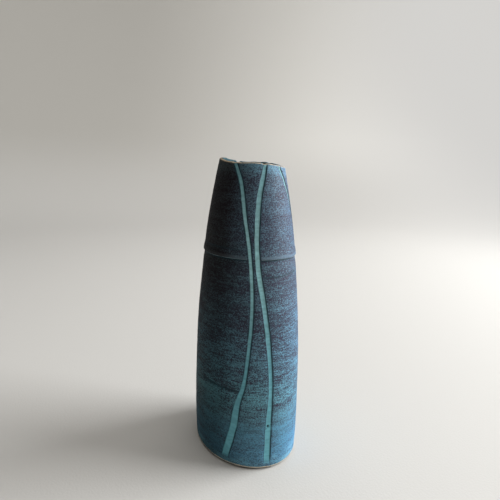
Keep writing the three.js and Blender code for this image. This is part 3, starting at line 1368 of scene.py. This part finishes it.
@dataclass(frozen=True)
class MottledGlaze:
    """Slate and purple glaze brushed over turquoise, with the turquoise showing through it.

    Both layers change on the way up, and shade, a tint and a highlight that follow the light are painted over
    them. A level is a share of 200 mm above the foot.
    """

    under: tuple[tuple[float, Colour], ...] = (
        (0.02, (0.130, 0.330, 0.480)), (0.05, (0.076, 0.240, 0.390)), (0.12, (0.076, 0.235, 0.360)),
        (0.19, (0.094, 0.260, 0.360)), (0.25, (0.120, 0.340, 0.450)), (0.32, (0.105, 0.280, 0.390)),
        (0.42, (0.102, 0.250, 0.365)), (0.55, (0.096, 0.215, 0.305)), (0.66, (0.084, 0.175, 0.240)),
        (0.80, (0.086, 0.175, 0.262)), (0.955, (0.090, 0.176, 0.255)), (0.985, (0.110, 0.250, 0.360)),
    )
    cover: tuple[tuple[float, Colour], ...] = (
        (0.00, grey(0.06)), (0.03, grey(0.18)), (0.09, grey(0.38)), (0.20, grey(0.50)), (0.27, grey(0.52)),
        (0.33, grey(0.66)), (0.50, grey(0.71)), (0.60, grey(0.84)), (0.69, grey(0.92)),
        (0.735, grey(0.74)), (0.90, grey(0.75)), (0.955, grey(0.74)), (0.985, grey(0.15)),
    )
    slate: Colour = (0.029, 0.045, 0.076)
    plum: Colour = (0.025, 0.021, 0.047)
    # Painted tints and painted shade for the sides turned towards and away from the light.
    shaded_side_tint: Colour = (1.05, 1.00, 0.92)
    lit_side_tint: Colour = (0.95, 0.97, 1.07)
    painted_shade_low: Colour = (0.42, 0.43, 0.41)
    painted_shade_high: Colour = (0.26, 0.17, 0.14)
    jade: tuple[tuple[float, Colour], ...] = (
        (0.00, (0.130, 0.390, 0.460)), (0.36, (0.130, 0.360, 0.430)), (0.52, (0.190, 0.420, 0.470)),
        (0.66, (0.310, 0.600, 0.640)), (0.80, (0.300, 0.560, 0.600)), (0.96, (0.170, 0.360, 0.400)),
    )
    pool_and_shade: Colour = (0.004, 0.024, 0.034)
    liner: Colour = (0.030, 0.075, 0.090)
    clay: Colour = (0.400, 0.320, 0.220)
    lip_pale: Colour = (0.105, 0.170, 0.235)
    lip_edge_highlight: Colour = (0.300, 0.400, 0.440)
    painted_shade_turn: float = -100.0
    broad: Grain = Grain(34, 18)
    bands: Grain = Grain(26, 3.6, 3.0, 0.6, 3.1, 0.4)
    streaks: Grain = Grain(9.0, 0.9, 3.0, 0.6, 7.7, 0.5)
    speckle: Grain = Grain(1.25, 0.80, 3.0, 0.75, 1.9, 0.4)
    grain: Grain = Grain(0.7, 0.6, 2.0, 0.6, 5.3)
    patches: Grain = Grain(12, 5, 3.0, 0.6, 6.6)
    surface: Grain = Grain(1.3, 1.1, 2.0, 0.6, 4.4)
    lick: Grain = Grain(6.0, 1.6, 2.0, 0.5, 8.2)
    dryness: Grain = Grain(1.6, 1.2, 2.0, 0.6, 6.1)
    per_mm: float = 0.005
    brushed_from_mm: float = 48.0
    brushed_to_mm: float = 138.0
    gloss: float = 0.3
    gloss_lost: float = 0.22
    gloss_mean: float = 0.25

    def facing(self, g: Graph) -> Socket:
        """Returns 1 on the side turned away from the light, where shade is painted darkest, falling to -1 on
        the far side.

        Args:
            g: The material's graph.

        Returns:
            The share.
        """
        angle = math.radians(self.painted_shade_turn)
        level = g.vector("NORMALIZE", g.vector("MULTIPLY", g.mm, (1.0, 1.0, 0.0)))
        return g.vector("DOT_PRODUCT", level, (math.cos(angle), math.sin(angle), 0.0))

    def thickness(self, g: Graph) -> Socket:
        """Returns how strongly shade is painted on the side turned away from the light, from 0 to 1; the
        gloss is lowered there too.
        """
        return g.ease(g.blend((self.facing(g), 1.0), (g.noise(self.patches), 0.35)), 0.10, 0.87)

    def layers(self, g: Graph, streaks: Socket) -> Socket:
        """Returns the colour of the two layers, before the painted shade and tint of the sides and the lip
        are worked in.

        Args:
            g: The material's graph.
            streaks: The brush streaks, which run round the vase.
        """
        height = g.height()
        broad, bands = g.noise(self.broad), g.noise(self.bands)
        speckle, grain = g.noise(self.speckle), g.noise(self.grain)
        level = g.blend((height, self.per_mm), (bands, 0.07), (broad, 0.10))
        fine = g.scaled(g.ease(height, 20.0, 90.0), 0.4, 0.6)
        mottle = g.math("MULTIPLY", g.blend((speckle, 3.5), (grain, 3.8)), fine)
        in_belt = g.band(height, self.brushed_from_mm, self.brushed_to_mm, 12.0)
        brushed = g.scaled(in_belt, 1.4, 1.0)
        pattern = g.blend((mottle, 1.0), (streaks, brushed), (bands, 1.0), (broad, 1.0))
        over = g.math("ADD", pattern, g.ramp(level, self.cover), clamp=True)
        plum = g.ease(g.blend((speckle, 0.5), (bands, 0.4), (grain, 0.5)), -0.12, 0.16)
        return g.mix(over, g.ramp(level, self.under), g.mix(plum, self.slate, self.plum))

    def colour(self, g: Graph) -> Socket:
        """Returns the glaze's colour at every place of the outside, with light and shade painted in.

        Args:
            g: The material's graph.

        Returns:
            The colour.
        """
        streaks = g.noise(self.streaks)
        lip = g.mark(Mark.LIP)
        on_lip = g.math("MULTIPLY", g.ease(lip, 0.05, 0.45), 0.65)
        colour = g.mix(on_lip, self.layers(g, streaks), self.lip_pale)
        # Painted shade: the side turned away from the light is darkened, more high up than low down.
        shade = g.mix(g.ease(g.height(), 60.0, 160.0), self.painted_shade_low, self.painted_shade_high)
        colour = g.multiply(colour, g.mix(self.thickness(g), grey(1.0), shade))
        # Painted tint following the light: cooler on the lit side, warmer on the shaded side.
        side = g.mix(g.ease(self.facing(g), -0.95, 0.10), self.lit_side_tint, self.shaded_side_tint)
        # Painted highlight along the lip's bottom edge, broken up by the brush streaks.
        pale_edge = g.math("MULTIPLY", g.ease(lip, 0.86, 0.98), g.ease(streaks, -0.25, 0.05))
        return g.mix(g.math("MULTIPLY", pale_edge, 0.6), g.multiply(colour, side), self.lip_edge_highlight)

    def apply(self, g: Graph) -> None:
        """Wires the glaze, its marks, its gloss and its fine relief to the shader.

        Args:
            g: The material's graph.
        """
        fine, lick = g.noise(self.surface), g.noise(self.lick)
        jade = g.ramp(g.math("MULTIPLY", g.height(), self.per_mm), self.jade)
        jade = g.multiply(jade, g.mix(g.ease(lick, -0.14, 0.14), grey(1.0), grey(0.80)))
        colour = g.mix(g.mark(Mark.TRAIL), self.colour(g), jade)
        # The darkest glaze where it pools, also used as painted shade.
        colour = g.mix(g.mark(Mark.POOL_AND_SHADE), colour, self.pool_and_shade)
        colour = g.mix(g.mark(Mark.INSIDE), colour, self.liner)
        pale_edge = g.math("MULTIPLY", g.mark(Mark.BARE), g.ease(fine, -0.25, 0.0))
        g.link(g.mix(pale_edge, colour, self.clay), g.shader.inputs["Base Color"])
        g.roughness_from(self.dryness, 0.7, 0.68)
        gloss = g.shader.inputs["Specular IOR Level"]
        gloss.default_value = self.gloss_mean
        g.link(g.scaled(self.thickness(g), -self.gloss_lost, self.gloss), gloss)
        g.bump_from(g.blend((fine, 0.6), (lick, 0.4)), 0.12 * MM, 0.8)


@dataclass(frozen=True)
class BareClay:
    """Unglazed stoneware, faintly speckled, with painted shadow along the bottom where it meets the table."""

    pale: Colour = (0.72, 0.68, 0.58)
    toasted: Colour = (0.60, 0.52, 0.40)
    speck: Colour = (0.16, 0.10, 0.06)
    painted_foot_shadow: Colour = (0.035, 0.031, 0.027)
    painted_foot_shadow_below_mm: float = 1.15
    toast: Grain = Grain(9, 9, 3.0, 0.6, 2.0)
    specks: Grain = Grain(0.5, 0.5, 1.0, 0.5, 9.0)
    foot_shadow_waver: Grain = Grain(3, 3, 2.0, 0.5, 5.0)
    dryness: Grain = Grain(2, 2, 2.0, 0.5, 3.0)
    grit: Grain = Grain(0.45, 0.45, 3.0, 0.7, 1.0)

    def apply(self, g: Graph) -> None:
        """Wires the clay to the shader.

        Args:
            g: The material's graph.
        """
        colour = g.mix(g.ease(g.noise(self.toast), -0.15, 0.25), self.pale, self.toasted)
        colour = g.mix(g.ease(g.noise(self.specks), 0.18, 0.25), colour, self.speck)
        # Painted shadow under the foot's chamfer, with a wavering top edge.
        depth = g.blend((g.height(), -1.0), (g.noise(self.foot_shadow_waver), 0.8))
        low = g.ease(depth, -self.painted_foot_shadow_below_mm - 0.2, -self.painted_foot_shadow_below_mm + 0.2)
        g.link(g.mix(low, colour, self.painted_foot_shadow), g.shader.inputs["Base Color"])
        g.roughness_from(self.dryness, 0.3, 0.8)
        g.bump_from(g.noise(self.grit), 0.15 * MM, 0.8)


# ---------------------------------------------------------------- the vase


class BudVase:
    """The whole vase, built piece by piece on the measured frame."""

    LINE_NODES = (
        "left_glaze_line", "right_glaze_line", "side_glaze_line", "side_rear_glaze_line", "back_glaze_line",
    )
    COILS = (Coil("foot_coil", 6.0 * MM), Coil("seam_coil", 2.0 * MM))
    STRIPS = (JointStrip("lower_joint_strip"), JointStrip("upper_joint_strip"))

    def __init__(self) -> None:
        """Measures the frame."""
        self.body = VaseBody()
        self.lines = [GlazeLine(node, LineRoute(self.body, node)) for node in self.LINE_NODES]
        self.surface = Surface(self.body, [line.route for line in self.lines])

    def glaze(self, name: str) -> bpy.types.Material:
        """Returns a new material of the shared glaze.

        Args:
            name: The material's name.

        Returns:
            The material.
        """
        graph = Graph(name)
        MottledGlaze().apply(graph)
        return graph.material

    def build(self) -> None:
        """Builds every piece."""
        surface = self.surface
        clay = Graph("bare_clay")
        BareClay().apply(clay)
        outside, in_lines, inside = (self.glaze(slot.value) for slot in (Slot.MOTTLED, Slot.LINE, Slot.INNER))
        BaseSlab(surface).build().finish("base_slab_clay", clay.material, Slot.CLAY, "base_slab")
        LowerWall(surface).build().finish("lower_wall_glazed", outside, Slot.MOTTLED, "lower_wall")
        UpperWall(surface).build().finish("upper_wall_glazed", outside, Slot.MOTTLED, "upper_wall")
        for inner in self.COILS + self.STRIPS:
            inner.build(surface).finish(inner.node + "_smoothed", inside, Slot.INNER, inner.node)
        for line in self.lines:
            line.build(surface).finish(line.node + "_carved", in_lines, Slot.LINE, line.node)


# ---------------------------------------------------------------- the studio


@dataclass(frozen=True)
class Lamp:
    """A soft square light that points at the vase.

    Its bearing is in degrees from the camera's, to the camera's right. It points at a place
    above the foot, and its power is in watts.
    """

    name: str
    degrees: float
    away: float
    height: float
    size: float
    power: float
    colour: Colour
    aim: float = 0.1


@dataclass(frozen=True)
class Shift:
    """Where the paper changes along a bearing, from a start to an end in millimetres."""

    degrees: float
    start: float
    end: float


@dataclass(frozen=True)
class Studio:
    """A pale paper sweep, a soft window-like light, and the camera."""

    azimuth: float = 60.74
    distance: float = 0.2998
    aside: float = 0.8 * MM
    eye_height: float = 0.200
    pitch: float = 11.19
    roll: float = 1.5
    lens: float = 31.68
    paper: Colour = (0.50, 0.488, 0.465)
    # Light and shade painted on the paper: paler on the wall, dimmer to the left, shaded beside the vase and
    # glowing towards the window.
    painted_light_wall_paper: Colour = (0.72, 0.705, 0.67)
    painted_shade_wall_paper: Colour = (0.41, 0.395, 0.365)
    shaded_paper: Colour = (0.22, 0.215, 0.205)
    black_paper_under_glow: Colour = (0.01, 0.01, 0.01)
    painted_window_glow: Colour = (0.65, 0.64, 0.62)
    rising_mm: float = 350.0
    shaded: Shift = Shift(-62.0, 330.0, 950.0)
    leftward: Shift = Shift(-90.0, -700.0, 700.0)
    windowward: Shift = Shift(98.0, 450.0, 1250.0)
    tooth: Grain = Grain(1.6, 1.6, 3.0, 0.6)
    sweep_radius: float = 2.3
    sweep_bend: float = 1.2
    sweep_height: float = 2.2
    sweep_rings: tuple[float, ...] = (0.0, 0.2, 0.5, 0.8)
    bend_steps: int = 12
    window: Lamp = Lamp("window", 98.0, 1.6, 0.84, 1.25, 68.0, (0.97, 0.985, 1.0))
    ceiling: Lamp = Lamp("ceiling", 180.0, 0.3, 3.2, 2.4, 46.0, (1.0, 0.98, 0.95))
    room_light: Colour = (0.92, 0.95, 1.0)
    room_strength: float = 0.015

    def bearing(self, degrees: float) -> Vector:
        """Returns the level direction at an angle to the right of the camera's own place."""
        angle = math.radians(self.azimuth + degrees)
        return Vector((math.sin(angle), -math.cos(angle), 0.0))

    def add_camera(self) -> None:
        """Sets the camera at its viewing angle."""
        data = bpy.data.cameras.new("camera")
        data.lens = self.lens
        data.sensor_width = 36.0
        data.clip_start = 0.01
        data.clip_end = 20.0
        camera = bpy.data.objects.new("camera", data)
        place = self.bearing(0.0) * self.distance + self.bearing(90.0) * self.aside
        place.z = self.eye_height
        turn = Matrix.Rotation(math.radians(self.azimuth), 4, "Z")
        tilt = Matrix.Rotation(math.radians(90.0 - self.pitch), 4, "X")
        roll = Matrix.Rotation(math.radians(self.roll), 4, "Z")
        camera.matrix_world = Matrix.Translation(place) @ turn @ tilt @ roll
        bpy.context.scene.collection.objects.link(camera)
        bpy.context.scene.camera = camera

    def add_light(self, lamp: Lamp) -> None:
        """Adds a light, which the camera doesn't see.

        Args:
            lamp: The light.
        """
        data = bpy.data.lights.new(lamp.name, "AREA")
        data.size = lamp.size
        data.energy = lamp.power
        data.color = lamp.colour
        light = bpy.data.objects.new(lamp.name, data)
        place = self.bearing(lamp.degrees) * lamp.away + Vector((0.0, 0.0, lamp.height))
        light.location = place
        aim = Vector((0.0, 0.0, lamp.aim)) - place
        light.rotation_euler = aim.to_track_quat("-Z", "Y").to_euler()
        light.visible_camera = False
        bpy.context.scene.collection.objects.link(light)

    def changed(self, g: Graph, shift: Shift) -> Socket:
        """Returns how far a change of the paper has come, from 0 to 1."""
        return g.ease(g.along(self.bearing(shift.degrees)), shift.start, shift.end)

    def paper_finish(self) -> Graph:
        """Makes the paper, with light and shade painted on it: paler as it rises, dim to the left, shaded
        beside the vase and towards the camera, and glowing towards the window.

        Returns:
            The graph of the finish.
        """
        g = Graph("paper")
        # Painted light and shade: the wall is paler than the floor and darker to the left.
        wall = g.mix(self.changed(g, self.leftward), self.painted_light_wall_paper, self.painted_shade_wall_paper)
        pale = g.mix(g.ease(g.height(), 0.0, self.rising_mm), self.paper, wall)
        # Painted shade to the left of the vase and towards the camera.
        tint = g.mix(self.changed(g, self.shaded), pale, self.shaded_paper)
        windowward = self.changed(g, self.windowward)
        # Towards the window the paper is black and glows instead, as painted light.
        g.link(g.mix(windowward, tint, self.black_paper_under_glow), g.shader.inputs["Base Color"])
        g.link(g.mix(windowward, grey(0.0), self.painted_window_glow), g.shader.inputs["Emission Color"])
        g.shader.inputs["Emission Strength"].default_value = 1.0
        g.shader.inputs["Roughness"].default_value = 0.9
        g.link(g.scaled(windowward, -0.5, 0.5), g.shader.inputs["Specular IOR Level"])
        g.bump_from(g.noise(self.tooth), 0.4 * MM, 0.35)
        return g

    def add_sweep(self) -> None:
        """Adds the paper floor, which curves up far from the vase on every side."""
        bend, flat = self.sweep_bend, self.sweep_radius - self.sweep_bend
        outline = [(radius, 0.0) for radius in (*self.sweep_rings, flat)]
        for step in range(1, self.bend_steps + 1):
            angle = math.radians(90.0 * step / self.bend_steps)
            outline.append((flat + bend * math.sin(angle), bend - bend * math.cos(angle)))
        outline.append((self.sweep_radius, self.sweep_height))
        mesh = spun([(REFERENCE_RADIUS - radius, height) for radius, height in outline], 96, closed=False)
        bmesh.ops.remove_doubles(mesh, verts=mesh.verts[:], dist=1e-6)
        bmesh.ops.recalc_face_normals(mesh, faces=mesh.faces[:])
        mesh_object("paper_sweep", mesh, self.paper_finish().material)

    def add_world(self) -> None:
        """Sets a dim, even light from all round."""
        world = bpy.data.worlds.new("room")
        world.use_nodes = True
        background = world.node_tree.nodes["Background"]
        background.inputs["Color"].default_value = (*self.room_light, 1.0)
        background.inputs["Strength"].default_value = self.room_strength
        bpy.context.scene.world = world

    def build(self) -> None:
        """Sets up the whole studio."""
        self.add_camera()
        self.add_sweep()
        self.add_world()
        self.add_light(self.window)
        self.add_light(self.ceiling)
        bpy.context.scene.view_settings.view_transform = "Standard"


def main() -> None:
    """Builds the vase and its studio."""
    logging.basicConfig(level=logging.INFO, format="%(name)s: %(message)s")
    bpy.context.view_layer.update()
    BudVase().build()
    Studio().build()


if __name__ == "__main__":
    main()
